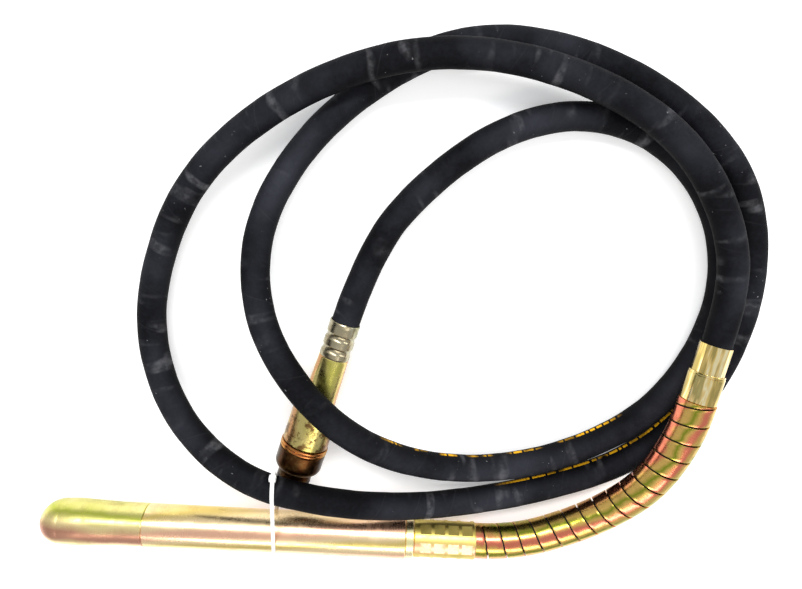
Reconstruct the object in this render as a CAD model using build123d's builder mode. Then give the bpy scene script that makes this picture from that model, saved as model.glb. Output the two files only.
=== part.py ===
from build123d import *
import math
import os

# Flexible-shaft concrete vibrator: a steel head with an eccentric rotor, a spiral steel bend guard,
# a coiled rubber hose round a flexible core, and a quick coupling on the hose's far end.
# Millimetres, +Z up. The head lies along +X with its nose at -X, on the plane z = 0.

os.makedirs("parts", exist_ok=True)

# ---- driving dimensions -------------------------------------------------------------------------

HEAD_R = 25.0          # head casing, outside radius
HEAD_BORE_R = 20.05    # casing bore, over the bearings
HEAD_LEN = 440.0       # nose tip to the casing's rear end
NOSE_LEN = 128.0       # nose tip to the casing joint
NOSE_R = 27.0          # widest radius of the bulbous nose
HEAD_REAR = (48.0, -122.0, NOSE_R)   # centre of the casing's rear end

HOSE_R = 16.0          # rubber hose, outside radius
HOSE_BORE_R = 10.5
LINER_R = 10.2         # wound steel liner inside the hose
LINER_BORE_R = 9.2
CORE_R = 6.0           # flexible core

GUARD_R = 20.5         # spiral bend guard, outside radius
GUARD_BORE_R = 17.2
SLIT_COUNT = 16
SLIT_PITCH = 21.6
SLIT_WIDTH = 1.6
SLIT_TILT = 15.0       # lean of each slit off square, in degrees
SLIT_BRIDGE = 12.0     # width of metal left below each slit
FIRST_SLIT = 26.0      # from the guard's start

COLLAR_R = 19.6        # plain collar on the guard's end
COLLAR_LEN = 34.0
SLEEVE_R = 17.4        # inner sleeve that the hose leaves through
SLEEVE_SHOW = 32.0     # its visible length
SLEEVE_FLATS = 10

COUPLING_LEN = 200.0
BARREL_R = 26.8
LOCK_R = 27.5
PILOT_R = 20.0
DRIVE_SOCKET_R = 11.4     # socket for the drive unit's spigot
DRIVE_SOCKET_DEPTH = 22.0

BALL_COUNT = 8
RUN_GAP = 0.3          # clearance between bodies that turn against each other

# ---- route of the hose --------------------------------------------------------------------------

# Bend guard: from inside the connector to the mouth of the sleeve, climbing over two strands of hose.
GUARD_ROUTE = [
    (120, -122, 27), (183, -122, 27), (273, -82, 32), (325, -25, 52), (355, 42, 58), (373, 148, 57.5),
]
GUARD_BENDS = [200, 190, 190, 250]

# Free hose: from the sleeve's mouth, up over the right side and the top, down the left, under the guard,
# round again inside the first turn, over the coupling and under the guard, and in to the coupling.
HOSE_ROUTE = [
    (373, 148, 57.5), (383.2, 208, 57.2), (369, 278, 55), (321, 352, 53.5), (238, 406, 53), (118, 438, 53),
    (-1, 429, 52), (-119, 375, 44), (-210, 291, 32), (-254, 178, 22), (-254, 92, 24), (-215, 15, 44),
    (-139, -38, 67), (-50, -58, 67), (33, -77, 38), (118, -78, 16.2), (213, -54, 16.2), (311, -14, 16.2),
    (380, 55, 16.2), (417, 146, 16.2), (423, 240, 16.2), (393, 332, 16.2), (314, 403, 16.2),
    (199, 451, 16.2), (83, 457, 16.2), (-11, 410, 16.2), (-89, 337, 20), (-135, 246, 36),
    (-129, 153, 56), (-84, 79, 70), (-21, 21, 70), (58, -22, 38), (153, -33, 16.2), (249, -4, 16.2),
    (333, 52, 17), (380, 140, 21), (391, 226, 21), (361, 309, 19), (298, 367, 17),
    (214, 388, 16.2), (130, 366, 17), (52, 307, 21), (-9, 231, 28), (-35, 140, 28),
]
COUPLING_MOUTH = HOSE_ROUTE[-1]


def bend_radii(route):
    """Radius at each corner: 0.45 of the shorter run over the tangent of half the turn."""
    radii = []
    for before, corner, after in zip(route, route[1:], route[2:]):
        run_in = Vector(corner) - Vector(before)
        run_out = Vector(after) - Vector(corner)
        half_turn = math.radians(run_in.get_angle(run_out)) / 2
        radii.append(0.45 * min(run_in.length, run_out.length) / math.tan(half_turn))
    return radii


HOSE_BENDS = bend_radii(HOSE_ROUTE)
print("hose bend radii:", [round(r) for r in HOSE_BENDS])

# ---- helpers ------------------------------------------------------------------------------------

HEAD = Plane(origin=HEAD_REAR, x_dir=(0, 0, 1), z_dir=(1, 0, 0))
COUPLING_DIR = (Vector(HOSE_ROUTE[-1]) - Vector(HOSE_ROUTE[-2])).normalized()
COUPLING = Plane(origin=COUPLING_MOUTH, x_dir=(0, 0, 1), z_dir=COUPLING_DIR)
MOUTH_DIR = (Vector(GUARD_ROUTE[-1]) - Vector(GUARD_ROUTE[-2])).normalized()
MOUTH = Plane(origin=GUARD_ROUTE[-1], x_dir=(1, 0, 0), z_dir=MOUTH_DIR)


def at(frame, along):
    """The frame moved along its own axis."""
    return frame.offset(along)


def side(frame):
    """Sketch plane through a frame's axis: x is the radius, y runs along the axis."""
    return Plane(origin=frame.origin, x_dir=frame.x_dir, z_dir=frame.x_dir.cross(frame.z_dir))


def axis_of(frame):
    return Axis(frame.origin, frame.z_dir)


def write(part, name):
    part.label = name
    export_step(part, f"parts/{name}.step")


def turned(name, frame, outline):
    """A turned piece: a closed outline of (radius, along) points, revolved round the frame's axis."""
    with BuildPart() as piece:
        with BuildSketch(side(frame)):
            with BuildLine():
                Polyline(outline, close=True)
            make_face()
        revolve(axis=axis_of(frame))
    write(piece.part, name)


def ring(name, frame, inner, outer, start, end, bevel=0.0):
    """A plain turned ring, with its outer edges bevelled."""
    turned(name, frame, [
        (inner, start), (outer - bevel, start), (outer, start + bevel),
        (outer, end - bevel), (outer - bevel, end), (inner, end),
    ] if bevel else [(inner, start), (outer, start), (outer, end), (inner, end)])


def tube(name, route, bends, outer, inner=0.0):
    """A tube of straight runs and tangent arcs along a route; returns its volume."""
    start = Plane(origin=route[0], z_dir=Vector(route[1]) - Vector(route[0]))
    with BuildPart() as piece:
        with BuildLine() as line:
            FilletPolyline(*route, radius=bends)
        with BuildSketch(start):
            Circle(outer)
            if inner:
                Circle(inner, mode=Mode.SUBTRACT)
        sweep(path=line.wires()[0])
    write(piece.part, name)
    section = math.pi * (outer ** 2 - inner ** 2)
    print(f"{name}: length {line.wires()[0].length:.0f}, volume / (section x length) = "
          f"{piece.part.volume / section / line.wires()[0].length:.4f}")


def circlip(name, frame, inner, outer, start, thickness):
    """An internal retaining ring: a flat ring with a gap between two lugs."""
    with BuildPart() as piece:
        with BuildSketch(at(frame, start)):
            Circle(outer)
            Circle(inner + 1.2, mode=Mode.SUBTRACT)
            with PolarLocations(inner + 1.6, 2, start_angle=-22, angular_range=44, endpoint=True):
                Circle(1.9)
            with Locations((outer, 0)):
                Rectangle(2 * (outer - inner) + 4, 6, mode=Mode.SUBTRACT)
        extrude(amount=thickness)
    write(piece.part, name)


def bearing(prefix, frame, bore, outer, width, start, ball):
    """A deep-groove ball bearing of four nodes: outer race, inner race, balls and cage."""
    pitch = (bore + outer) / 2
    shoulder = ball * 0.52
    middle = start + width / 2
    track = ball + 0.1
    bevel = 0.5
    for race, rim, inner in (("outer_race", outer, pitch + shoulder), ("inner_race", bore, pitch - shoulder)):
        edge = rim - bevel if rim > inner else rim + bevel
        with BuildPart() as piece:
            with BuildSketch(side(frame)):
                with BuildLine():
                    Polyline(
                        (inner, start), (edge, start), (rim, start + bevel), (rim, start + width - bevel),
                        (edge, start + width), (inner, start + width), close=True,
                    )
                make_face()
                with Locations((pitch, middle)):
                    Circle(track, mode=Mode.SUBTRACT)
            revolve(axis=axis_of(frame))
        write(piece.part, f"{prefix}_{race}")
    with BuildPart() as balls:
        with Locations(at(frame, middle)):
            with PolarLocations(pitch, BALL_COUNT):
                Sphere(ball)
    write(balls.part, f"{prefix}_balls")
    with BuildPart() as cage:
        with BuildSketch(at(frame, middle - ball * 1.25)):
            Circle(pitch + shoulder - 0.6)
            Circle(pitch - shoulder + 0.6, mode=Mode.SUBTRACT)
        extrude(amount=ball * 2.5)
        with Locations(at(frame, middle)):
            with PolarLocations(pitch, BALL_COUNT):
                Cylinder(ball + 0.12, 4 * shoulder, rotation=(0, 90, 0), mode=Mode.SUBTRACT)
    write(cage.part, f"{prefix}_cage")


# ---- head: nose, casing and what is inside ------------------------------------------------------

TUBE_FRONT = NOSE_LEN - HEAD_LEN     # casing's front end, along the head frame
BEARING_W = 12.0
FRONT_BEARING = TUBE_FRONT + 22.0
REAR_BEARING = -62.0
BEARING_BORE = 8.5
BEARING_R = 20.0
SHOULDER_R = 19.2

# Casing: drawn tube with a bearing shoulder at each end and a groove for the rear circlip.
CLIP_AT = REAR_BEARING + BEARING_W + 0.1
CLIP_T = 1.8
turned("head_casing", HEAD, [
    (HEAD_BORE_R, TUBE_FRONT), (HEAD_R - 0.8, TUBE_FRONT), (HEAD_R, TUBE_FRONT + 0.8), (HEAD_R, -0.8),
    (HEAD_R - 0.8, 0), (HEAD_BORE_R, 0), (HEAD_BORE_R, CLIP_AT + CLIP_T + 0.1),
    (HEAD_BORE_R + 1, CLIP_AT + CLIP_T + 0.1), (HEAD_BORE_R + 1, CLIP_AT - 0.1),
    (HEAD_BORE_R, CLIP_AT - 0.1), (HEAD_BORE_R, REAR_BEARING - 0.1), (SHOULDER_R, REAR_BEARING - 0.1),
    (SHOULDER_R, FRONT_BEARING + BEARING_W + 0.1), (HEAD_BORE_R, FRONT_BEARING + BEARING_W + 0.1),
])

# Nose: solid, rounded and slightly wider than the casing, with a threaded spigot into it.
SPIGOT_R = 19.9
SPIGOT_END = TUBE_FRONT + 16.0
ORING_AT = TUBE_FRONT + 8.0
with BuildPart() as nose:
    with BuildSketch(side(HEAD)):
        with BuildLine():
            tip = ThreePointArc((0, -HEAD_LEN), (19.0, -HEAD_LEN + 9), (NOSE_R - 0.6, -HEAD_LEN + 30))
            cheek = ThreePointArc(tip @ 1, (NOSE_R, -HEAD_LEN + 42), (NOSE_R - 0.5, -HEAD_LEN + 58))
            Polyline(
                cheek @ 1, (HEAD_R, -HEAD_LEN + 96), (HEAD_R, TUBE_FRONT - 0.9),
                (HEAD_R - 0.8, TUBE_FRONT - 0.1), (SPIGOT_R, TUBE_FRONT - 0.1),
                (SPIGOT_R, ORING_AT - 1.4), (SPIGOT_R - 2.4, ORING_AT - 1.4),
                (SPIGOT_R - 2.4, ORING_AT + 1.4), (SPIGOT_R, ORING_AT + 1.4),
                (SPIGOT_R, SPIGOT_END), (13, SPIGOT_END), (13, -HEAD_LEN + 62), (0, -HEAD_LEN + 54), (0, -HEAD_LEN),
            )
        make_face()
    revolve(axis=axis_of(HEAD))
write(nose.part, "nose_cap")

with BuildPart() as nose_seal:
    with BuildSketch(side(HEAD)):
        with Locations((SPIGOT_R - 1.2, ORING_AT)):
            Circle(1.1)
    revolve(axis=axis_of(HEAD))
write(nose_seal.part, "nose_o_ring")

ring("front_spacer", HEAD, 16.0, 19.95, SPIGOT_END + 0.1, FRONT_BEARING - 0.1, 0.4)
bearing("front", HEAD, BEARING_BORE, BEARING_R, BEARING_W, FRONT_BEARING, 3.9)
bearing("rear", HEAD, BEARING_BORE, BEARING_R, BEARING_W, REAR_BEARING, 3.9)
circlip("rear_circlip", HEAD, 16.5, HEAD_BORE_R + 0.8, CLIP_AT, CLIP_T)

# Rotor: a shaft on the two bearings with a half-round weight on one side, and a socket for the core.
WEIGHT_R = 17.5
SHAFT_R = BEARING_BORE - 0.03
STUB_R = 10.0
STUB_END = -12.0
SOCKET_R = 5.15
SOCKET_DEPTH = 23.0
with BuildPart() as rotor:
    with BuildSketch(side(HEAD)):
        with BuildLine():
            Polyline(
                (0, FRONT_BEARING - 2), (SHAFT_R - 0.6, FRONT_BEARING - 2), (SHAFT_R, FRONT_BEARING - 1.4),
                (SHAFT_R, FRONT_BEARING + BEARING_W), (10.5, FRONT_BEARING + BEARING_W),
                (10.5, REAR_BEARING), (SHAFT_R, REAR_BEARING), (SHAFT_R, -47), (STUB_R, -47), (STUB_R, STUB_END),
                (SOCKET_R, STUB_END), (SOCKET_R, STUB_END - SOCKET_DEPTH), (0, STUB_END - SOCKET_DEPTH),
                close=True,
            )
        make_face()
    revolve(axis=axis_of(HEAD))
    with BuildSketch(at(HEAD, FRONT_BEARING + BEARING_W + 10)):
        Circle(WEIGHT_R)
        with Locations((WEIGHT_R, 0)):
            Rectangle(2 * WEIGHT_R, 2 * WEIGHT_R, mode=Mode.SUBTRACT)
    extrude(amount=REAR_BEARING - FRONT_BEARING - BEARING_W - 20)
write(rotor.part, "eccentric_rotor")

# Shaft seal behind the rear bearing, a rubber lip in a steel ring.
turned("rotor_seal", HEAD, [
    (12.4, -40), (19.95, -40), (19.95, -33), (17.5, -33), (17.5, -38), (14, -38),
    (STUB_R + RUN_GAP + 0.4, -33.5), (STUB_R + RUN_GAP, -34.5),
])

# Swaged tip on the head end of the flexible core.
turned("core_tip_head", HEAD, [
    (0, STUB_END - SOCKET_DEPTH + 1), (SOCKET_R - 0.15, STUB_END - SOCKET_DEPTH + 1),
    (SOCKET_R - 0.15, STUB_END + 1.5), (8, STUB_END + 1.5), (8, 19.2), (7.2, 20), (CORE_R + RUN_GAP, 20),
    (CORE_R + RUN_GAP, 4), (0, 4),
])

# ---- rear connector, lock ring and bend guard ---------------------------------------------------

CONNECTOR_R = 22.0
CONNECTOR_END = 84.0
CRIMP_ROWS = 4
FIRST_CRIMP_ROW = 18.0
CRIMP_ROW_PITCH = 16.5
CRIMP_FLAT = 12.5      # length of each crimped flat
GUARD_START = GUARD_ROUTE[0][0] - HEAD_REAR[0]
HOSE_START = 24.0

ring("lock_ring", HEAD, SPIGOT_R + 0.2, 23.8, 0.2, 10, 0.9)

# Connector: screws into the casing, holds the hose end and the guard; four rows of crimped flats.
with BuildPart() as connector:
    with BuildSketch(side(HEAD)):
        with BuildLine():
            Polyline(
                (9, -8), (11, -8), (11, -28), (SPIGOT_R, -28), (SPIGOT_R, 10.2), (CONNECTOR_R - 1, 10.2),
                (CONNECTOR_R, 11.2), (CONNECTOR_R, CONNECTOR_END - 1.2), (CONNECTOR_R - 0.8, CONNECTOR_END),
                (GUARD_R + 0.25, CONNECTOR_END), (GUARD_R + 0.25, GUARD_START - 0.3),
                (HOSE_R + 0.2, GUARD_START - 0.3), (HOSE_R + 0.2, HOSE_START - 0.3), (9, HOSE_START - 0.3),
                close=True,
            )
        make_face()
    revolve(axis=axis_of(HEAD))
    for row in range(CRIMP_ROWS):
        with BuildSketch(at(HEAD, FIRST_CRIMP_ROW + row * CRIMP_ROW_PITCH)):
            Circle(CONNECTOR_R + 2)
            RegularPolygon(CONNECTOR_R - 0.9, 6, major_radius=False, rotation=30, mode=Mode.SUBTRACT)
        extrude(amount=CRIMP_FLAT, mode=Mode.SUBTRACT)
write(connector.part, "rear_connector")

# Spiral guard: a steel tube opened by a row of leaning slits, so that it bends with the hose.
GUARD_END_GAP = SLEEVE_SHOW + COLLAR_LEN
guard_stop = Vector(GUARD_ROUTE[-1]) - MOUTH_DIR * GUARD_END_GAP
guard_points = GUARD_ROUTE[:-1] + [guard_stop]
with BuildPart() as guard:
    with BuildLine() as guard_line:
        FilletPolyline(*guard_points, radius=GUARD_BENDS)
    with BuildSketch(at(HEAD, GUARD_START)):
        Circle(GUARD_R)
        Circle(GUARD_BORE_R, mode=Mode.SUBTRACT)
    sweep(path=guard_line.wires()[0])
    spine = guard_line.wires()[0]
    for slit in range(SLIT_COUNT):
        share = (FIRST_SLIT + slit * SLIT_PITCH) / spine.length
        along = spine % share
        square = Plane(origin=spine @ share, x_dir=Vector(0, 0, 1).cross(along), z_dir=along)
        with BuildSketch(square.rotated((0, SLIT_TILT, 0))):
            Circle(GUARD_R + 2)
            with Locations((0, -GUARD_R)):
                Rectangle(SLIT_BRIDGE, GUARD_R, mode=Mode.SUBTRACT)
        extrude(amount=SLIT_WIDTH / 2, both=True, mode=Mode.SUBTRACT)
write(guard.part, "spiral_guard")
print(f"guard length {spine.length:.0f}, solids {len(guard.part.solids())}")

# Collar on the guard's end, the weld ring in front of it, and the faceted sleeve inside.
ring("guard_collar", MOUTH, SLEEVE_R + 0.15, COLLAR_R, -GUARD_END_GAP + 0.2, -SLEEVE_SHOW - 2.6, 0.8)
turned("collar_ring", MOUTH, [
    (SLEEVE_R + 0.1, -SLEEVE_SHOW - 2.5), (COLLAR_R - 0.4, -SLEEVE_SHOW - 2.5),
    (COLLAR_R - 0.2, -SLEEVE_SHOW - 1), (SLEEVE_R + 0.9, -SLEEVE_SHOW), (SLEEVE_R + 0.1, -SLEEVE_SHOW),
])
with BuildPart() as sleeve:
    with BuildSketch(at(MOUTH, -SLEEVE_SHOW - 28)):
        RegularPolygon(SLEEVE_R - 0.45, SLEEVE_FLATS, major_radius=False)
        Circle(SLEEVE_R, mode=Mode.INTERSECT)
        Circle(HOSE_R + 0.25, mode=Mode.SUBTRACT)
    extrude(amount=SLEEVE_SHOW + 28)
write(sleeve.part, "guard_sleeve")

# ---- hose, liner and core -----------------------------------------------------------------------

HEAD_HOSE = [(HEAD_REAR[0] + HOSE_START, HEAD_REAR[1], HEAD_REAR[2])] + GUARD_ROUTE[1:]
tube("hose_in_guard", HEAD_HOSE, GUARD_BENDS, HOSE_R, HOSE_BORE_R)
tube("hose", HOSE_ROUTE, HOSE_BENDS, HOSE_R, HOSE_BORE_R)


def inner_route(start_along, end_along):
    """Corners of what runs inside the hose, from the head to a point along the coupling."""
    first = (HEAD_REAR[0] + start_along, HEAD_REAR[1], HEAD_REAR[2])
    last = Vector(COUPLING_MOUTH) + COUPLING_DIR * end_along
    return [first] + GUARD_ROUTE[1:-1] + HOSE_ROUTE[1:-1] + [last]


INNER_BENDS = GUARD_BENDS + HOSE_BENDS
tube("hose_liner", inner_route(HOSE_START + 1, -0.5), INNER_BENDS, LINER_R, LINER_BORE_R)
tube("flexible_core", inner_route(5, 79), INNER_BENDS, CORE_R)

# ---- coupling on the hose's far end -------------------------------------------------------------

CRIMP_END = 38.0
CRIMP_BORE = 15.0
BODY_BORE_R = 9.0
BARREL_START = 103.0
BARREL_END = 149.0
SEAT_R = 17.55
NECK_R = 17.0
LOCK_START = 157.0
LOCK_END = 183.0

ring("hose_end", COUPLING, 10.6, CRIMP_BORE - 0.1, 0, CRIMP_END - 2)

# Crimp ferrule: a thin shell with two swaged grooves and a rolled lip over the hose.
with BuildPart() as ferrule:
    with BuildSketch(side(COUPLING)):
        with BuildLine():
            lip = Polyline(
                (CRIMP_BORE, 0), (HOSE_R + 0.3, 0), (HOSE_R + 0.3, -4), (17.0, -4.6), (17.6, -3.4),
                (17.3, 0), (17.4, 8.5),
            )
            groove_1 = ThreePointArc(lip @ 1, (16.0, 12.5), (17.4, 16.5))
            land = Line(groove_1 @ 1, (17.4, 24))
            groove_2 = ThreePointArc(land @ 1, (16.0, 28), (17.4, 32))
            Polyline(
                groove_2 @ 1, (17.3, 36.6), (16.8, CRIMP_END), (CRIMP_BORE, CRIMP_END), (CRIMP_BORE, 0),
            )
        make_face()
    revolve(axis=axis_of(COUPLING))
write(ferrule.part, "crimp_ferrule")

# Body: turned from bar, with a nipple inside the hose, a slow cone and a wide barrel.
SPINDLE_BEARING = 107.0
SPINDLE_BEARING_W = 11.0
SPINDLE_CLIP = SPINDLE_BEARING + SPINDLE_BEARING_W + 0.1
turned("coupling_body", COUPLING, [
    (8.15, 0.2), (10.45, 0.2), (10.45, CRIMP_END + 0.3), (16.6, CRIMP_END + 0.3), (17.2, CRIMP_END + 1),
    (19.2, BARREL_START - 3), (21.5, BARREL_START), (BARREL_R - 0.6, BARREL_START + 1.2),
    (BARREL_R, BARREL_START + 3), (BARREL_R, BARREL_END - 1.5), (BARREL_R - 1.2, BARREL_END),
    (SEAT_R, BARREL_END), (SEAT_R, SPINDLE_CLIP + 1.7), (SEAT_R + 1, SPINDLE_CLIP + 1.7),
    (SEAT_R + 1, SPINDLE_CLIP - 0.1), (SEAT_R, SPINDLE_CLIP - 0.1),
    (SEAT_R, SPINDLE_BEARING - 0.1), (13, SPINDLE_BEARING - 0.1),
    (13, BARREL_START - 10), (BODY_BORE_R, BARREL_START - 10), (BODY_BORE_R, 42), (8.15, 42),
])

bearing("spindle", COUPLING, 7.5, 17.5, SPINDLE_BEARING_W, SPINDLE_BEARING, 3.3)
circlip("spindle_circlip", COUPLING, 14.2, SEAT_R + 0.8, SPINDLE_CLIP, 1.5)

# Spindle: holds the swaged core end, runs in the bearing and ends in a two-jaw dog.
DOG_START = 163.0
DOG_END = COUPLING_LEN - DRIVE_SOCKET_DEPTH - 1.6      # just below the socket's floor
with BuildPart() as spindle:
    with BuildSketch(side(COUPLING)):
        with BuildLine():
            Polyline(
                (CORE_R + RUN_GAP, 62), (BODY_BORE_R - 0.8, 62), (BODY_BORE_R - RUN_GAP - 0.1, 62.5),
                (BODY_BORE_R - RUN_GAP - 0.1, BARREL_START - 8), (9.6, BARREL_START - 8),
                (9.6, SPINDLE_BEARING), (7.47, SPINDLE_BEARING), (7.47, 150), (9.4, 152),
                (9.4, DOG_END - 0.8), (8.6, DOG_END), (0, DOG_END), (0, 80), (CORE_R + RUN_GAP, 80), close=True,
            )
        make_face()
    revolve(axis=axis_of(COUPLING))
    with BuildSketch(at(COUPLING, DOG_START)):
        Rectangle(30, 7.2)
    extrude(amount=DOG_END - DOG_START + 1, mode=Mode.SUBTRACT)
write(spindle.part, "drive_spindle")

turned("spindle_seal", COUPLING, [
    (10, 128), (14.9, 128), (14.9, 134), (12.4, 134), (12.4, 129.6), (10.2, 129.6), (8.1, 133.4),
    (7.47 + RUN_GAP, 132.6),
])

# Pilot: screws into the barrel, carries the locking sleeve, and enters the drive unit's socket.
PILOT_GROOVE = 193.7
SOCKET_FLOOR = COUPLING_LEN - 1 - DRIVE_SOCKET_DEPTH
turned("coupling_pilot", COUPLING, [
    (15, 121.5), (SEAT_R - 0.1, 121.5), (SEAT_R - 0.1, BARREL_END + 0.2), (NECK_R, BARREL_END + 0.2),
    (NECK_R, LOCK_END + 0.6), (PILOT_R - 0.8, LOCK_END + 0.6), (PILOT_R, LOCK_END + 1.6),
    (PILOT_R, PILOT_GROOVE - 1.7), (PILOT_R - 2.2, PILOT_GROOVE - 1.7), (PILOT_R - 2.2, PILOT_GROOVE + 1.7),
    (PILOT_R, PILOT_GROOVE + 1.7), (PILOT_R, COUPLING_LEN - 1.5), (PILOT_R - 1.5, COUPLING_LEN),
    (DRIVE_SOCKET_R + 1, COUPLING_LEN), (DRIVE_SOCKET_R, COUPLING_LEN - 1),
    (DRIVE_SOCKET_R, SOCKET_FLOOR), (10.2, SOCKET_FLOOR), (10.2, 138), (15, 138),
])
with BuildPart() as pilot_seal:
    with BuildSketch(side(COUPLING)):
        with Locations((PILOT_R - 0.95, PILOT_GROOVE)):
            Circle(1.2)
    revolve(axis=axis_of(COUPLING))
write(pilot_seal.part, "pilot_o_ring")

# Two thrust rings between the barrel and the locking sleeve.
for number, start in (("rear", BARREL_END + 0.4), ("front", BARREL_END + 4.0)):
    ring(f"thrust_ring_{number}", COUPLING, NECK_R + 0.05, LOCK_R + 0.4, start, start + 3.2, 0.8)

# Locking sleeve: turns on the pilot's neck; two bayonet slots are cut in its bore.
with BuildPart() as lock:
    with BuildSketch(side(COUPLING)):
        with BuildLine():
            edge = Polyline(
                (NECK_R + RUN_GAP, LOCK_START), (LOCK_R - 0.8, LOCK_START),
                (LOCK_R, LOCK_START + 0.8), (LOCK_R, LOCK_END - 8),
            )
            shoulder = ThreePointArc(edge @ 1, (LOCK_R - 1.6, LOCK_END - 3), (LOCK_R - 4.6, LOCK_END))
            Polyline(shoulder @ 1, (NECK_R + RUN_GAP, LOCK_END), (NECK_R + RUN_GAP, LOCK_START))
        make_face()
    revolve(axis=axis_of(COUPLING))
    with BuildSketch(at(COUPLING, LOCK_END - 9)):
        Rectangle(2 * (NECK_R + 4), 8)
        Circle(NECK_R, mode=Mode.SUBTRACT)
    extrude(amount=10, mode=Mode.SUBTRACT)
write(lock.part, "locking_sleeve")

# ---- cable tie round the head and the strand beside it ------------------------------------------

TIE_X = -114.5
TIE_WIDTH = 4.6
TIE_T = 1.3
TIE_GAP = 0.4
STRAND_Y = -43.6
STRAND_Z = 66.6
TIE_PLANE = Plane(origin=(TIE_X, HEAD_REAR[1], HEAD_REAR[2]), x_dir=(0, 1, 0), z_dir=(1, 0, 0))
strand_at = (STRAND_Y - HEAD_REAR[1], STRAND_Z - HEAD_REAR[2])
with BuildPart() as tie:
    with BuildSketch(TIE_PLANE):
        Circle(HEAD_R + TIE_GAP + TIE_T)
        with Locations(strand_at):
            Circle(HOSE_R + 1.8 + TIE_T)
        make_hull()
    extrude(amount=TIE_WIDTH)
    with BuildSketch(TIE_PLANE):
        Circle(HEAD_R + TIE_GAP)
        with Locations(strand_at):
            Circle(HOSE_R + 1.8)
        make_hull()
    extrude(amount=TIE_WIDTH, mode=Mode.SUBTRACT)
write(tie.part, "cable_tie")
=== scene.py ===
import math

import bmesh
import bpy
import numpy as np
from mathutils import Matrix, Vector


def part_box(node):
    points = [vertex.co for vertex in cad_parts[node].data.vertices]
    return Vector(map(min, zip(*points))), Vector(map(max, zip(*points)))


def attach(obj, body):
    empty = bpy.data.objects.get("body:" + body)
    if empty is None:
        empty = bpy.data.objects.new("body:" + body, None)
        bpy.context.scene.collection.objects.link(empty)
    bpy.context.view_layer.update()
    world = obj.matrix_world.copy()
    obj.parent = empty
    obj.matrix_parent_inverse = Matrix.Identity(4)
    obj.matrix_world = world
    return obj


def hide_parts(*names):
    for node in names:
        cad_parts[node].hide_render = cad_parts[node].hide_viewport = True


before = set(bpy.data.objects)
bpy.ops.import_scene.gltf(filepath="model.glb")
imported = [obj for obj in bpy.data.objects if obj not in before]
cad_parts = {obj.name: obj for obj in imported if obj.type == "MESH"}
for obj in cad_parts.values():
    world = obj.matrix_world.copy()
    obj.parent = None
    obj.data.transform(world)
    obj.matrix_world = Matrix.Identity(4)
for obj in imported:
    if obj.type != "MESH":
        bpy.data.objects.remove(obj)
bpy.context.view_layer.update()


# ---- camera, floor and light --------------------------------------------------------------------
# The vibrator lies on a white floor and is seen from above, with the head along the near edge.
# Soft panels give the plated steel its long highlights. The floor gives off a little light of its
# own, which keeps its shadows faint.

camera_data = bpy.data.cameras.new("camera")
camera_data.sensor_width = 36.0
camera_data.lens = 28.73
camera = bpy.data.objects.new("camera", camera_data)
camera.location = (0.0189, 0.3279, 0.728)
camera.rotation_euler = (math.radians(-12.0), 0.0, math.radians(3.08))
bpy.context.collection.objects.link(camera)
bpy.context.scene.camera = camera
bpy.context.scene.view_settings.view_transform = "Standard"


def panel_light(name, place, target, width, depth, watts, tint=(1.0, 1.0, 1.0)):
    """A rectangular soft light at a place, turned to face a target."""
    data = bpy.data.lights.new(name, "AREA")
    data.shape = "RECTANGLE"
    data.size, data.size_y, data.energy, data.color = width, depth, watts, tint
    lamp = bpy.data.objects.new(name, data)
    lamp.location = place
    lamp.rotation_euler = (Vector(target) - Vector(place)).to_track_quat("-Z", "Y").to_euler()
    bpy.context.collection.objects.link(lamp)


panel_light("back_panel", place=(-0.2, 1.25, 1.7), target=(0.0, 0.1, 0.0),
            width=1.7, depth=0.32, watts=30.0)
panel_light("front_panel", place=(0.1, -1.3, 1.6), target=(0.1, 0.0, 0.0),
            width=1.8, depth=0.5, watts=16.0, tint=(1.0, 0.96, 0.90))
panel_light("side_panel", place=(1.8, 0.3, 1.2), target=(0.3, 0.1, 0.0),
            width=0.35, depth=1.4, watts=10.0)

world = bpy.data.worlds.new("studio")
world.use_nodes = True
background = world.node_tree.nodes["Background"].inputs
background["Color"].default_value = (0.95, 0.97, 1.0, 1.0)
background["Strength"].default_value = 0.68
bpy.context.scene.world = world

FLOOR_REACH = 6.0
FLOOR_DROP = 0.0005        # keeps the floor from sharing a plane with the underside
floor_corners = ((-1, -1), (1, -1), (1, 1), (-1, 1))
floor_mesh = bpy.data.meshes.new("floor")
floor_mesh.from_pydata(
    [(x * FLOOR_REACH, y * FLOOR_REACH, -FLOOR_DROP) for x, y in floor_corners],
    [], [(0, 1, 2, 3)],
)
floor = bpy.data.objects.new("floor", floor_mesh)
bpy.context.collection.objects.link(floor)
floor_paint = bpy.data.materials.new("floor_paint")
floor_paint.use_nodes = True
floor_look = floor_paint.node_tree.nodes["Principled BSDF"].inputs
floor_look["Base Color"].default_value = (0.92, 0.92, 0.92, 1.0)
floor_look["Roughness"].default_value = 0.9
floor_look["Emission Color"].default_value = (1.0, 1.0, 1.0, 1.0)
floor_look["Emission Strength"].default_value = 0.32
floor_mesh.materials.append(floor_paint)


# ---- hose ---------------------------------------------------------------------------------------
# Two and a half turns of wrapped rubber hose, 32 mm across, from the guard's sleeve to the
# coupling. It is cured under a wound tape, which leaves a shallow spiral step, and it carries a
# broken yellow line in two lengths.

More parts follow.
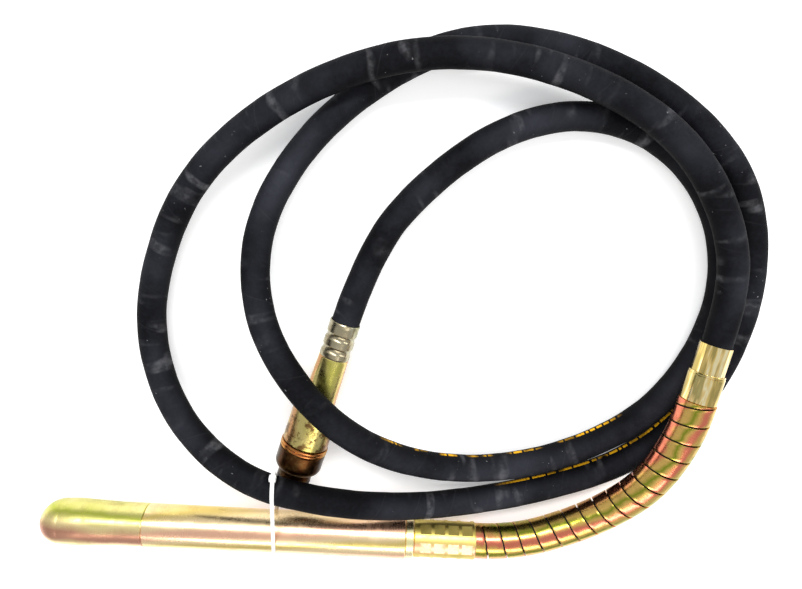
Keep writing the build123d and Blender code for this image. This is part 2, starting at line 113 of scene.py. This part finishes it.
HOSE_RADIUS = 0.016
HOSE_ROUTE = np.array([
    (373, 148, 57.5), (383.2, 208, 57.2), (369, 278, 55), (321, 352, 53.5), (238, 406, 53),
    (118, 438, 53), (-1, 429, 52), (-119, 375, 44), (-210, 291, 32), (-254, 178, 22),
    (-254, 92, 24), (-215, 15, 44), (-139, -38, 67), (-50, -58, 67), (33, -77, 38),
    (118, -78, 16.2), (213, -54, 16.2), (311, -14, 16.2), (380, 55, 16.2), (417, 146, 16.2),
    (423, 240, 16.2), (393, 332, 16.2), (314, 403, 16.2), (199, 451, 16.2), (83, 457, 16.2),
    (-11, 410, 16.2), (-89, 337, 20), (-135, 246, 36), (-129, 153, 56), (-84, 79, 70),
    (-21, 21, 70), (58, -22, 38), (153, -33, 16.2), (249, -4, 16.2), (333, 52, 17),
    (380, 140, 21), (391, 226, 21), (361, 309, 19), (298, 367, 17), (214, 388, 16.2),
    (130, 366, 17), (52, 307, 21), (-9, 231, 28), (-35, 140, 28),
]) / 1000


def smooth_line(route):
    """Points along the smooth curve that the route's points pull, from its own NURBS spline."""
    curve = bpy.data.curves.new("route", "CURVE")
    curve.dimensions = "3D"
    spline = curve.splines.new("NURBS")
    spline.points.add(len(route) - 1)
    spline.points.foreach_set("co", np.column_stack((route, np.ones(len(route)))).ravel())
    spline.order_u = 3
    spline.use_endpoint_u = True
    spline.resolution_u = 40
    carrier = bpy.data.objects.new("route", curve)
    mesh = bpy.data.meshes.new_from_object(carrier)
    points = np.empty(len(mesh.vertices) * 3)
    mesh.vertices.foreach_get("co", points)
    bpy.data.objects.remove(carrier)
    bpy.data.meshes.remove(mesh)
    return points.reshape(-1, 3)


def spaced(line, spacing):
    """The line again with points at an even spacing, and the distance along it of each."""
    steps = np.linalg.norm(np.diff(line, axis=0), axis=1)
    reached = np.concatenate(([0.0], np.cumsum(steps)))
    along = np.linspace(0.0, reached[-1], max(2, round(reached[-1] / spacing) + 1))
    return np.column_stack([np.interp(along, reached, line[:, axis]) for axis in range(3)]), along


def frames_along(line):
    """The right and up directions at each point; up stays as near to +Z as the line allows."""
    forward = np.gradient(line, axis=0)
    forward /= np.linalg.norm(forward, axis=1, keepdims=True)
    right = np.cross(forward, (0.0, 0.0, 1.0))
    right /= np.linalg.norm(right, axis=1, keepdims=True)
    return right, np.cross(right, forward)


def grid_faces(rows, columns, rows_close=False):
    """Quads of a grid of rows x columns vertices; columns, and rows if asked, close into rings."""
    starts = np.arange(rows if rows_close else rows - 1)
    row, column = np.meshgrid(starts, np.arange(columns), indexing="ij")
    beside, below = (column + 1) % columns, (row + 1) % rows
    corners = ((row, column), (row, beside), (below, beside), (below, column))
    return np.stack([r * columns + c for r, c in corners], axis=-1).reshape(-1, 4)


def add_piece(name, vertices, faces):
    """A smooth-shaded mesh object at the origin from vertex and face arrays."""
    mesh = bpy.data.meshes.new(name)
    places = np.asarray(vertices).reshape(-1, 3).tolist()
    mesh.from_pydata(places, [], [list(map(int, face)) for face in faces])
    mesh.polygons.foreach_set("use_smooth", np.full(len(mesh.polygons), True))
    mesh.update()
    piece = bpy.data.objects.new(name, mesh)
    bpy.context.collection.objects.link(piece)
    return piece


def add_attribute(piece, name, values):
    """Stores one number for each vertex, for a material to read."""
    stored = piece.data.attributes.new(name, "FLOAT", "POINT")
    stored.data.foreach_set("value", np.asarray(values).ravel())


RING_SEGMENTS = 40
RING_SPACING = 0.0028
TAPE_PITCH = 0.046
TAPE_STEP = 0.00028
TAPE_EDGE = 1 / 6          # the part of a pitch over which the tape's edge falls away
SWELL = 0.00016            # unevenness of the radius, as two slow waves that beat along the hose
hose_line, hose_along = spaced(smooth_line(HOSE_ROUTE), RING_SPACING)
right, up = frames_along(hose_line)
turn = np.linspace(0.0, 1.0, RING_SEGMENTS, endpoint=False)
wound = (hose_along[:, None] / TAPE_PITCH - turn[None, :]) % 1.0
sunk = TAPE_STEP * np.clip(wound / TAPE_EDGE, 0.0, 1.0) * (1.0 - wound)
swell = SWELL * np.sin(hose_along * 61.0) * np.sin(hose_along * 23.0 + 1.0)
hose_radius = HOSE_RADIUS - sunk + swell[:, None]
angle = 2 * math.pi * turn
hose_vertices = (
    hose_line[:, None, :]
    + (hose_radius * np.cos(angle))[..., None] * right[:, None, :]
    + (hose_radius * np.sin(angle))[..., None] * up[:, None, :]
)
rings = len(hose_line)
hose_faces = [list(face) for face in grid_faces(rings, RING_SEGMENTS)]
hose_faces.append(list(range(RING_SEGMENTS)))
hose_faces.append([rings * RING_SEGMENTS - 1 - i for i in range(RING_SEGMENTS)])
hose = add_piece("rubber_hose", hose_vertices, hose_faces)
add_attribute(hose, "along", np.repeat(hose_along, RING_SEGMENTS))
add_attribute(hose, "around", np.tile(turn, rings))

# The yellow line is printed in two lengths, a metre and a half apart, each fading in and out.
PRINTED_LENGTHS = ((1.50, 1.80), (2.99, 3.32))
PRINT_FADE = 0.03
printed = sum(
    np.clip((hose_along - start) / PRINT_FADE, 0, 1)
    * np.clip((stop - hose_along) / PRINT_FADE, 0, 1)
    for start, stop in PRINTED_LENGTHS
)
add_attribute(hose, "printed", np.repeat(printed, RING_SEGMENTS))


class Signal:
    """One socket of a finish; Python's arithmetic on it adds the Math nodes that work it out."""

    def __init__(self, finish, socket):
        self.finish, self.socket = finish, socket

    def math(self, operation, *others, clamp=False):
        settings = {"operation": operation, "use_clamp": clamp}
        return self.finish.node("Math", settings, (self, *others))

    def __add__(self, other):
        return self.math("ADD", other)

    def __sub__(self, other):
        return self.math("SUBTRACT", other)

    def __mul__(self, other):
        return self.math("MULTIPLY", other)

    def __rsub__(self, other):
        return self.finish.node("Math", {"operation": "SUBTRACT"}, (other, self))

    __radd__ = __add__
    __rmul__ = __mul__

    def clamp(self):
        return self.math("ADD", 0.0, clamp=True)

    def step_up(self, low, high):
        """0 below low, 1 above high, and straight between them."""
        return ((self - low) * (1.0 / (high - low))).clamp()


class Finish:
    """A material: its nodes are added by one method, and its shader's sockets are set by name."""

    def __init__(self, name, **constants):
        self.material = bpy.data.materials.new(name)
        self.material.use_nodes = True
        self.tree = self.material.node_tree
        self.shader = self.tree.nodes["Principled BSDF"]
        for socket, value in constants.items():
            self.shader.inputs[socket.replace("_", " ")].default_value = value

    def node(self, kind, settings=None, inputs=(), output=0):
        """Adds a node: its settings, or a ramp's stops, then values or links by order or name."""
        made = self.tree.nodes.new("ShaderNode" + kind)
        for setting, value in (settings or {}).items():
            if setting == "stops":
                while len(made.color_ramp.elements) < len(value):
                    made.color_ramp.elements.new(1.0)
                for stop, (place, colour) in zip(made.color_ramp.elements, value):
                    stop.position, stop.color = place, (*colour, 1.0)
            else:
                setattr(made, setting, value)
        named = inputs.items() if isinstance(inputs, dict) else enumerate(inputs)
        for key, value in named:
            if isinstance(value, Signal):
                self.tree.links.new(value.socket, made.inputs[key])
            else:
                made.inputs[key].default_value = value
        return Signal(self, made.outputs[output])

    def mix(self, factor, first, second, blend="MIX"):
        """The first colour where the factor is 0, the second where it is 1."""
        settings = {"data_type": "RGBA", "blend_type": blend}
        colours = [c if isinstance(c, Signal) else (*c, 1.0) for c in (first, second)]
        return self.node("Mix", settings, {0: factor, 6: colours[0], 7: colours[1]}, output=2)

    def noise(self, place, scale, detail=2.0, roughness=0.5):
        inputs = {"Vector": place, "Scale": scale, "Detail": detail, "Roughness": roughness}
        return self.node("TexNoise", {}, inputs)

    def object_place(self):
        return self.node("TexCoord", output=3)

    def parts_of(self, place):
        """The x, y and z of a vector."""
        return [self.node("SeparateXYZ", {}, (place,), output=axis) for axis in range(3)]

    def normal(self):
        """The x, y and z of the way that the surface faces, in the piece's own space."""
        return self.parts_of(self.node("TexCoord", output=1))

    def join(self, x, y, z):
        return self.node("CombineXYZ", {}, (x, y, z))

    def attribute(self, name):
        return self.node("Attribute", {"attribute_name": name}, output=2)

    def bump(self, height, distance):
        """Sends a height in 0..1 to the shader's normal, as a relief of that depth in metres."""
        inputs = {"Height": height, "Distance": distance, "Strength": 1.0}
        self.feed("Normal", self.node("Bump", {}, inputs))

    def feed(self, socket, signal):
        self.tree.links.new(signal.socket, self.shader.inputs[socket])


RUBBER_BLACK = (0.0014, 0.0014, 0.0019)
# the bluish tone of the bloom, which also serves as a painted sheen on the hose's upper side
BLOOM_AND_SHEEN_BLUE = (0.0320, 0.0335, 0.0430)
CHALK = (0.30, 0.30, 0.32)
SEAM_GREY = (0.06, 0.06, 0.065)
SPECK_WHITE = (0.62, 0.62, 0.62)
LINE_YELLOW = (0.86, 0.44, 0.01)
LINE_AROUND = 0.524        # where the line runs, as a part of the turn from the right-hand side
LINE_HALF_WIDTH = 0.034    # also as a part of the turn


def wrapped_rubber():
    """Matt black rubber: a bluish bloom with a painted sheen on top, chalky rubs, white specks and
    a yellow line.
    """
    finish = Finish("wrapped_rubber", Specular_IOR_Level=0.05)
    along, around = finish.attribute("along"), finish.attribute("around")
    place = finish.object_place()
    tape = finish.node("Math", {"operation": "FRACT"}, (along * (1.0 / TAPE_PITCH) - around,))
    seam = 1.0 - (tape.math("PINGPONG", 1.0) * 24.0).clamp()

    # Near black, with clouds of bloom and a painted sheen on what faces up, and a few chalk marks
    # across the hose.
    cloud = finish.noise(place, 9.0, 4.0, 0.55).step_up(0.42, 0.78)
    fine = finish.noise(place, 260.0, 3.0).step_up(0.35, 0.75)
    crossing = finish.join(along * 70.0, around * 1.6, 0.0)
    rub = finish.noise(crossing, 1.0, 1.0).step_up(0.56, 0.70)
    broken = finish.noise(place, 75.0, 3.0, 0.6).step_up(0.42, 0.64)
    patch = finish.noise(place, 15.0, 2.0).step_up(0.44, 0.62)
    speck = finish.noise(place, 170.0, 2.0, 0.6).step_up(0.72, 0.80)
    # painted sheen: the upper side of the hose is painted lighter and bluer, as if lit from above
    painted_sheen_up = finish.normal()[2].step_up(0.0, 0.95)
    bloom_and_painted_sheen = (cloud * 0.8 + fine * 0.12 + 0.08) * painted_sheen_up
    colour = finish.mix(bloom_and_painted_sheen, RUBBER_BLACK, BLOOM_AND_SHEEN_BLUE)
    colour = finish.mix(rub * patch * (0.05 + broken * 0.20), colour, CHALK)
    colour = finish.mix(seam * 0.16 * patch, colour, SEAM_GREY)
    colour = finish.mix(speck * patch * 0.55, colour, SPECK_WHITE)

    # The yellow line: broken, ragged strokes on the side that lies towards the inside of the coil.
    drift = finish.noise(finish.join(along * 1.4, 0.0, 3.0), 1.0, 0.0) * 0.05
    off_line = (around + drift - LINE_AROUND).math("ABSOLUTE")
    stroke = finish.noise(finish.join(along * 210.0, 0.0, 0.0), 1.0, 0.0).step_up(0.40, 0.46)
    ragged = finish.noise(finish.join(along * 420.0, around * 60.0, 0.0), 1.0, 2.0) * 0.014
    inside = (LINE_HALF_WIDTH - off_line - ragged).step_up(0.0, 0.006)
    worn = finish.noise(place, 34.0, 2.0).step_up(0.36, 0.52)
    line = inside * stroke * finish.attribute("printed") * worn
    colour = finish.mix(line, colour, LINE_YELLOW)

    finish.feed("Base Color", colour)
    finish.feed("Roughness", 0.62 + fine * 0.12 - cloud * 0.06)
    threads = {"Vector": finish.join(along * 620.0, around * 70.0, 0.0), "Scale": 1.0}
    weave = finish.node("TexVoronoi", {}, threads)
    finish.bump(finish.noise(place, 420.0, 3.0) * 0.6 + weave * 0.5 - seam * 0.6, 0.00035)
    return finish.material


def repaint(material, *names):
    """Gives CAD nodes one material in place of the plain one that they came with."""
    for name in names:
        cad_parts[name].data.materials.clear()
        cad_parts[name].data.materials.append(material)


hose.data.materials.append(wrapped_rubber())
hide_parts("hose")
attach(hose, "root")
for name in ("hose_in_guard", "hose_end"):
    plain = Finish(name + "_rubber", Roughness=0.7)
    grain = plain.noise(plain.object_place(), 300.0, 3.0)
    plain.feed("Base Color", plain.mix(grain, (0.006, 0.006, 0.007), (0.015, 0.015, 0.017)))
    plain.bump(grain, 0.0003)
    repaint(plain.material, name)


# ---- bend guard ---------------------------------------------------------------------------------
# A steel tube, 41 mm across, sawn through by one long spiral, so that it bends with the hose. Zinc
# plated and dipped in yellow chromate, which dries to gold with green and rose; its bands follow
# the way the surface faces and are painted reflections. The collar at its far end and the faceted
# sleeve inside it are a paler gold, drawn along their length.

GUARD_RADIUS = 0.0205
GUARD_WALL = 0.0033
SLIT_PITCH = 0.0216
SLIT_WIDTH = 0.0020
SLIT_TURNS = 15.6
FIRST_SLIT = 0.020
GUARD_BENDS = (0.200, 0.190, 0.190, 0.250)
SLEEVE_AND_COLLAR = 0.066
guard_corners = np.array([
    (120, -122, 27), (183, -122, 27), (273, -82, 32), (325, -25, 52), (355, 42, 58),
    (373, 148, 57.5),
]) / 1000
last_run = guard_corners[-1] - guard_corners[-2]
guard_corners[-1] -= last_run / np.linalg.norm(last_run) * SLEEVE_AND_COLLAR


def bent_line(corners, bends):
    """Straight runs joined by arcs that touch both runs: at each corner the arc starts
    bend x tan(half the turn) before it, and sweeps the whole turn about its own centre."""
    pieces = [corners[:1]]
    for before, corner, after, bend in zip(corners, corners[1:], corners[2:], bends):
        into = (corner - before) / np.linalg.norm(corner - before)
        out = (after - corner) / np.linalg.norm(after - corner)
        whole = math.acos(float(into @ out))
        start = corner - into * bend * math.tan(whole / 2)
        inward = (out - into * math.cos(whole)) / math.sin(whole)
        swept = np.linspace(0.0, whole, 40)[:, None]
        pieces.append(start + bend * (np.sin(swept) * into + (1 - np.cos(swept)) * inward))
    pieces.append(corners[-1:])
    return np.concatenate(pieces)


def spiral_cut_tube(line, radius, pitch, first, turns, width, segments=72, rows=7):
    """A tube's skin laid out on the spiral itself: a vertex's distance along is
    first + pitch x turns made + its row, so that the cut's two lips are two rows of the grid.
    Faces across the cut are left out between its two ends, and the tube's ends are squared off."""
    points, reached = spaced(line, 0.001)
    length = reached[-1]
    aside, above = frames_along(points)
    lead = math.ceil((first + pitch) / pitch) + 1
    total = (lead + math.ceil(length / pitch) + 1) * segments
    step = np.arange(total) - lead * segments
    made = step / segments
    across = np.linspace(width / 2, pitch - width / 2, rows)
    distance = np.clip(first + pitch * made[:, None] + across[None, :], 0.0, length)
    theta = np.broadcast_to(2 * math.pi * made[:, None], distance.shape)

    def at(values):
        parts = [np.interp(distance, reached, values[:, axis]) for axis in range(3)]
        return np.stack(parts, axis=-1)

    outward = np.sin(theta)[..., None] * at(above) - np.cos(theta)[..., None] * at(aside)
    vertices = at(points) + radius * outward
    index = np.arange(total * rows).reshape(total, rows)
    corners = (index[:-1, :-1], index[1:, :-1], index[1:, 1:], index[:-1, 1:])
    band = np.stack(corners, axis=-1).reshape(-1, 4)
    low, high = index[:-segments, -1], index[segments:, 0]
    bridge = np.stack((low[:-1], low[1:], high[1:], high[:-1]), axis=-1)
    next_turn = made[: -segments - 1] + 1
    solid = (next_turn < 0) | (next_turn > turns)
    faces = np.concatenate((band, bridge[solid]))
    return vertices.reshape(-1, 3), faces, distance.ravel(), made.repeat(rows)


guard_line = bent_line(guard_corners, GUARD_BENDS)
guard_vertices, guard_faces, guard_along, guard_turn = spiral_cut_tube(
    guard_line, GUARD_RADIUS, SLIT_PITCH, FIRST_SLIT, SLIT_TURNS, SLIT_WIDTH,
)
guard = add_piece("spiral_guard_tube", guard_vertices, guard_faces)
add_attribute(guard, "along", guard_along)
add_attribute(guard, "around", guard_turn)


def weld(piece, distance=0.00002):
    """Merges doubled vertices, drops faces that closed up, and turns every face outwards."""
    skin = bmesh.new()
    skin.from_mesh(piece.data)
    bmesh.ops.remove_doubles(skin, verts=skin.verts, dist=distance)
    bmesh.ops.dissolve_degenerate(skin, edges=skin.edges, dist=distance)
    bmesh.ops.recalc_face_normals(skin, faces=skin.faces)
    skin.to_mesh(piece.data)
    skin.free()


weld(guard)
wall = guard.modifiers.new("wall", "SOLIDIFY")
wall.thickness = GUARD_WALL
wall.offset = -1.0
rounding = guard.modifiers.new("rounding", "BEVEL")
rounding.width = 0.00035
rounding.segments = 2
rounding.limit_method = "ANGLE"
rounding.angle_limit = math.radians(50)
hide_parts("spiral_guard")
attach(guard, "root")


STAIN_BROWN = (0.16, 0.09, 0.03)
SCRATCH_PALE = (0.95, 0.93, 0.88)


def chromate(name, tones, along, clouds=14.0, roughness=0.2, bands=2.2, facing=(0.0, 0.28, 0.5),
             shift=0.1, wander=1.0, drift_along=0.0, rings=900.0, dark=0.25):
    """Zinc with a yellow chromate film, whose tint runs gold, olive, gold, rose.
    The tint runs with the way the surface faces (bands times, by the weights in facing), which
    paints reflection bands and highlights of the surroundings into the colour; it also runs in
    drifting clouds (wander) and with the distance along (drift_along), from where shift says. rings
    is how closely the turning marks follow each other. dark is how brown the stains are: a number,
    or a function of the distance along."""
    gold, olive, rose = tones
    finish = Finish(name, Metallic=1.0)
    place = finish.object_place()
    run = along(finish, place)
    near = finish.noise(place, clouds, 3.0, 0.6)
    far = finish.noise(place, clouds * 0.35, 1.0)
    # painted reflection: the tint follows the way the surface faces, so each tube carries fixed
    # bands of painted highlight and reflection
    painted_reflection_phase = sum(part * (weight * bands) for part, weight in zip(finish.normal(), facing))
    drifted = ((near - 0.5) * 1.1 + (far - 0.5) * 0.8) * wander
    phase = painted_reflection_phase + drifted + run * drift_along + shift
    tint = finish.node("ValToRGB", {"stops": [
        (0.0, gold), (0.18, olive), (0.36, gold), (0.55, rose), (0.72, rose), (0.88, gold),
        (1.0, gold),
    ]}, (phase.math("FRACT"),))
    stain = finish.noise(place, clouds * 5.0, 4.0, 0.7).step_up(0.48, 0.68)
    depth = dark(run) if callable(dark) else dark
    tint = finish.mix((stain + 0.2) * depth, tint, STAIN_BROWN)
    marks = finish.noise(finish.join(run * rings, 0.0, 0.0), 1.0, 2.0)
    scratch = finish.noise(place, 900.0, 0.0).step_up(0.70, 0.78)
    tint = finish.mix(scratch * 0.5, tint, SCRATCH_PALE, blend="SOFT_LIGHT")
    finish.feed("Base Color", tint)
    finish.feed("Roughness", roughness + near * 0.12 + marks * 0.08 + stain * 0.12)
    finish.bump(marks * 0.6 + near * 0.4, 0.00010)
    return finish.material


def along_guard(finish, place):
    return finish.attribute("along")


# The guard's bands of tint by facing are painted reflections, which shift round the tube as it
# bends.
GUARD_TONES = ((0.75, 0.48, 0.13), (0.24, 0.29, 0.02), (0.77, 0.22, 0.13))
guard.data.materials.append(chromate(
    "guard_chromate", GUARD_TONES, along_guard, clouds=30.0, roughness=0.13, bands=1.4,
    facing=(0.5, -0.5, 0.0), shift=0.98, wander=0.5, drift_along=-1.6,
))


MOUTH_SLOPE = float(last_run[0] / last_run[1])      # x gained for each y, along the sleeve


def drawn_gold(name, clouds):
    """Pale gold with streaks of white, peach and olive-grey drawn along the sleeve's length."""
    finish = Finish(name, Metallic=1.0)
    x, y, z = finish.parts_of(finish.object_place())
    drawn = finish.join((x - y * MOUTH_SLOPE) * clouds, y * 12.0, z * clouds)
    streaks = finish.noise(drawn, 1.0, 3.0, 0.6)
    tint = finish.node("ValToRGB", {"stops": [
        (0.0, (0.30, 0.22, 0.07)), (0.38, (0.48, 0.37, 0.12)), (0.46, (0.88, 0.62, 0.21)),
        (0.52, (1.0, 0.90, 0.55)), (0.57, (0.92, 0.66, 0.27)), (0.64, (0.46, 0.38, 0.14)),
        (1.0, (0.8, 0.66, 0.3)),
    ]}, (streaks,))
    finish.feed("Base Color", tint)
    finish.feed("Roughness", 0.10 + streaks * 0.14)
    finish.bump(streaks, 0.00012)
    return finish.material


repaint(drawn_gold("collar_gold", 75.0), "guard_collar", "collar_ring")
repaint(drawn_gold("sleeve_gold", 120.0), "guard_sleeve")


# ---- vibrating head -----------------------------------------------------------------------------
# A drawn steel tube with a rounded nose screwed in at its front, then a pale lock ring and the
# crimped connector that holds the guard. All have the same plating in tones of their own: the nose
# is the greenest, and the casing is a pale gold that turns to peach. Their bands of tint follow the
# way each surface faces and are painted reflections.


def along_head(finish, place):
    """Distance along the head, which lies along x."""
    return finish.parts_of(place)[0]


HEAD_TONES = ((0.99, 0.76, 0.44), (0.76, 0.58, 0.18), (0.97, 0.57, 0.38))
NOSE_TONES = ((0.97, 0.80, 0.38), (0.48, 0.52, 0.08), (0.60, 0.30, 0.20))
CONNECTOR_TONES = ((0.98, 0.78, 0.24), (0.66, 0.52, 0.12), (0.94, 0.52, 0.32))
RING_TONES = ((1.0, 0.92, 0.48), (0.86, 0.74, 0.26), (0.98, 0.78, 0.46))
repaint(chromate("casing_chromate", HEAD_TONES, along_head, clouds=6.0, roughness=0.15, bands=1.4,
                 facing=(0.0, 0.5, 0.0), shift=0.05, wander=0.4, drift_along=-2.6, rings=1400.0,
                 dark=0.15), "head_casing")
repaint(chromate("nose_chromate", NOSE_TONES, along_head, clouds=11.0, bands=1.0,
                 facing=(0.0, -0.5, 0.0), shift=0.62, wander=0.4, rings=1100.0), "nose_cap")
repaint(chromate("connector_chromate", CONNECTOR_TONES, along_head, clouds=18.0, roughness=0.26,
                 bands=1.4, facing=(0.0, 0.5, 0.0), shift=0.57, wander=0.6), "rear_connector")
repaint(chromate("lock_ring_chromate", RING_TONES, along_head, clouds=8.0, roughness=0.14,
                 bands=1.0, dark=0.1), "lock_ring")


# ---- coupling -----------------------------------------------------------------------------------
# Turned steel: a pale swaged ferrule on the hose, a slow cone, a wide and stained barrel, two
# thrust rings and a dark bronze locking sleeve with a rounded shoulder, then the pilot that enters
# the drive unit. The bands of tint that follow the way each surface faces are painted reflections.

COUPLING_MOUTH = HOSE_ROUTE[-1]
last_leg = HOSE_ROUTE[-1] - HOSE_ROUTE[-2]
COUPLING_AXIS = last_leg / np.linalg.norm(last_leg)


def along_coupling(finish, place):
    """Distance along the coupling: the dot product of the place with the coupling's axis."""
    vectors = (place, tuple(COUPLING_AXIS))
    return finish.node("VectorMath", {"operation": "DOT_PRODUCT"}, vectors, output=1)


def barrel_stain(run):
    """Light on the cone and heavy on the barrel, which starts 103 mm from the hose's end."""
    from_mouth = run - float(COUPLING_MOUTH @ COUPLING_AXIS)
    return 0.15 + from_mouth.step_up(0.094, 0.112) * 1.4


CRIMP_TONES = ((0.50, 0.48, 0.34), (0.26, 0.26, 0.14), (0.40, 0.35, 0.23))
BODY_TONES = ((0.78, 0.66, 0.24), (0.54, 0.50, 0.11), (0.58, 0.30, 0.13))
THRUST_TONES = ((0.62, 0.30, 0.07), (0.30, 0.19, 0.03), (0.46, 0.16, 0.05))
LOCK_TONES = ((0.026, 0.013, 0.005), (0.009, 0.007, 0.003), (0.065, 0.020, 0.006))
repaint(chromate("crimp_zinc", CRIMP_TONES, along_coupling, clouds=22.0, roughness=0.16, bands=0.9),
        "crimp_ferrule")
repaint(chromate("body_chromate", BODY_TONES, along_coupling, clouds=17.0, roughness=0.16,
                 bands=1.4, facing=(0.1, 0.0, 0.6), shift=0.36, wander=0.7, dark=barrel_stain),
        "coupling_body")
repaint(chromate("ring_bronze", THRUST_TONES, along_coupling, clouds=30.0, roughness=0.14,
                 bands=1.2), "thrust_ring_front", "thrust_ring_rear")
repaint(chromate("lock_bronze", LOCK_TONES, along_coupling, clouds=36.0, roughness=0.2, bands=1.4,
                 dark=0.5), "locking_sleeve", "coupling_pilot")


# ---- inner parts --------------------------------------------------------------------------------
# Ground steel bearings in brass cages, a turned rotor and spindle, a greased wire core in a steel
# liner, and nitrile seals. They show only through the drive socket and in a cut-away.


def machined(name, light, shade, rough, metallic=1.0, grain=500.0):
    """Turned or moulded stock: two close tones in a fine grain, with a shallow relief."""
    finish = Finish(name, Metallic=metallic)
    texture = finish.noise(finish.object_place(), grain, 3.0)
    finish.feed("Base Color", finish.mix(texture, light, shade))
    finish.feed("Roughness", rough + texture * 0.12)
    finish.bump(texture, 0.00005)
    return finish.material


BEARINGS = ("front", "rear", "spindle")
bearing_steel = machined("bearing_steel", (0.74, 0.74, 0.75), (0.60, 0.60, 0.62), 0.08)
for part in ("outer_race", "inner_race", "balls"):
    repaint(bearing_steel, *[f"{bearing}_{part}" for bearing in BEARINGS])
repaint(machined("cage_brass", (0.72, 0.52, 0.22), (0.52, 0.36, 0.14), 0.3),
        *[f"{bearing}_cage" for bearing in BEARINGS])
repaint(machined("shaft_steel", (0.55, 0.55, 0.56), (0.38, 0.38, 0.40), 0.22),
        "eccentric_rotor", "drive_spindle", "front_spacer")
repaint(machined("core_wire", (0.40, 0.40, 0.41), (0.16, 0.16, 0.16), 0.35, grain=900.0),
        "flexible_core", "core_tip_head")
repaint(machined("spring_steel", (0.24, 0.24, 0.26), (0.12, 0.12, 0.13), 0.35),
        "rear_circlip", "spindle_circlip", "hose_liner")
repaint(machined("seal_rubber", (0.010, 0.010, 0.010), (0.022, 0.022, 0.022), 0.45, metallic=0.0),
        "nose_o_ring", "rotor_seal", "spindle_seal", "pilot_o_ring")


# ---- cable tie ----------------------------------------------------------------------------------
# A white nylon tie round the head and the strand of hose beside it holds the coil for carrying.
# It is a strap, its ratchet head and the snipped tail, as one piece.

TIE_WIDTH = 0.0046
TIE_THICKNESS = 0.0013
TIE_LEAN = 0.10        # how far the strap drifts towards the guard for each metre that it climbs
TIE_SLACK = 0.0005
RATCHET_SIZE = (0.0078, 0.0072, 0.0056)
RATCHET_LIFT = 0.0024
TAIL_LENGTH = 0.012
TAIL_BACK = 0.0075     # from the ratchet's middle to the tail's, along the strap
TAIL_LIFT = 0.0012
tie_low, tie_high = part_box("cable_tie")
tie_x = (tie_low[0] + tie_high[0]) / 2
head_low, head_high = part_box("head_casing")
head_centre = (np.array(head_low) + np.array(head_high))[1:] / 2
head_radius = (head_high[2] - head_low[2]) / 2
# The strand is the hose's point nearest to the tie's x on the near side of the coil.
crossing = np.argmin(np.abs(hose_line[:, 0] - tie_x) + (hose_line[:, 1] > 0.0))
strand_centre = hose_line[crossing][1:]


def strap_round(first, first_radius, second, second_radius, steps=240):
    """A closed line drawn tight round two circles, and the way that each of its points faces. For
    each outward direction it takes the point of the circle that reaches further that way, so its
    straight stretches are where the choice changes."""
    facing = np.linspace(0.0, 2 * math.pi, steps, endpoint=False)
    outward = np.column_stack((np.cos(facing), np.sin(facing)))
    reach_first = outward @ first + first_radius
    reach_second = outward @ second + second_radius
    on_second = (reach_second > reach_first)[:, None]
    touched = np.where(on_second, second + second_radius * outward, first + first_radius * outward)
    return touched, outward


strap_loop, strap_out = strap_round(
    head_centre, head_radius + TIE_SLACK, strand_centre, HOSE_RADIUS + TIE_SLACK,
)
# Section of the strap: across its width and out from the loop, with rounded outer edges.
strap_section = np.array([
    (-0.50, 0.0), (-0.50, 0.62), (-0.44, 0.92), (-0.34, 1.0),
    (0.34, 1.0), (0.44, 0.92), (0.50, 0.62), (0.50, 0.0),
]) * (TIE_WIDTH, TIE_THICKNESS)
climb = strap_loop[:, 1] - strap_loop[:, 1].min()
strap_x = tie_x + TIE_LEAN * climb[:, None] + strap_section[None, :, 0]
strap_yz = strap_loop[:, None, :] + strap_out[:, None, :] * strap_section[None, :, 1, None]
strap_vertices = np.concatenate((strap_x[..., None], strap_yz), axis=-1)
strap_faces = grid_faces(len(strap_loop), len(strap_section), rows_close=True)


def rounded_block(centre, sides, directions, squareness=0.25, steps=24):
    """A superellipsoid: cosines and sines of latitude and longitude, each raised to a small power,
    so that the ball swells towards its box. sides are its full lengths along three directions."""
    latitude = np.linspace(-math.pi / 2, math.pi / 2, steps)[:, None]
    longitude = np.linspace(0.0, 2 * math.pi, 2 * steps, endpoint=False)[None, :]

    def swell(value):
        return np.sign(value) * np.abs(value) ** squareness

    reach = (
        swell(np.cos(latitude)) * swell(np.cos(longitude)),
        swell(np.cos(latitude)) * swell(np.sin(longitude)),
        swell(np.sin(latitude)) * np.ones_like(longitude),
    )
    vertices = centre + sum(
        part[..., None] * side / 2 * np.array(direction)
        for part, side, direction in zip(reach, sides, directions)
    )
    return vertices.reshape(-1, 3), grid_faces(steps, 2 * steps)


# The ratchet head sits behind the strand, and the tail is snipped off just past it.
HEAD_FACING = math.radians(28.0)
facing_out = np.array([0.0, math.cos(HEAD_FACING), math.sin(HEAD_FACING)])
facing_on = np.array([0.0, -math.sin(HEAD_FACING), math.cos(HEAD_FACING)])
across = np.array([1.0, 0.0, 0.0])
tie_directions = (across, facing_on, facing_out)
nearest = np.argmax(strap_out @ facing_out[1:])
strap_there = np.array([strap_x[nearest].mean(), *strap_loop[nearest]])
ratchet_place = strap_there + facing_out * RATCHET_LIFT
tail_place = ratchet_place - facing_on * TAIL_BACK + facing_out * TAIL_LIFT
block_vertices, block_faces = rounded_block(ratchet_place, RATCHET_SIZE, tie_directions)
tail_vertices, tail_faces = rounded_block(
    tail_place, (TIE_WIDTH, TAIL_LENGTH, TIE_THICKNESS), tie_directions, squareness=0.12,
)
counts = np.cumsum([0, strap_vertices.size // 3, len(block_vertices)])
tie = add_piece(
    "nylon_tie",
    np.concatenate((strap_vertices.reshape(-1, 3), block_vertices, tail_vertices)),
    np.concatenate((strap_faces, block_faces + counts[1], tail_faces + counts[2])),
)
weld(tie, 0.000005)
tie.data.materials.append(
    machined("tie_nylon", (0.93, 0.93, 0.91), (0.84, 0.84, 0.82), 0.32, metallic=0.0)
)
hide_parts("cable_tie")
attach(tie, "root")
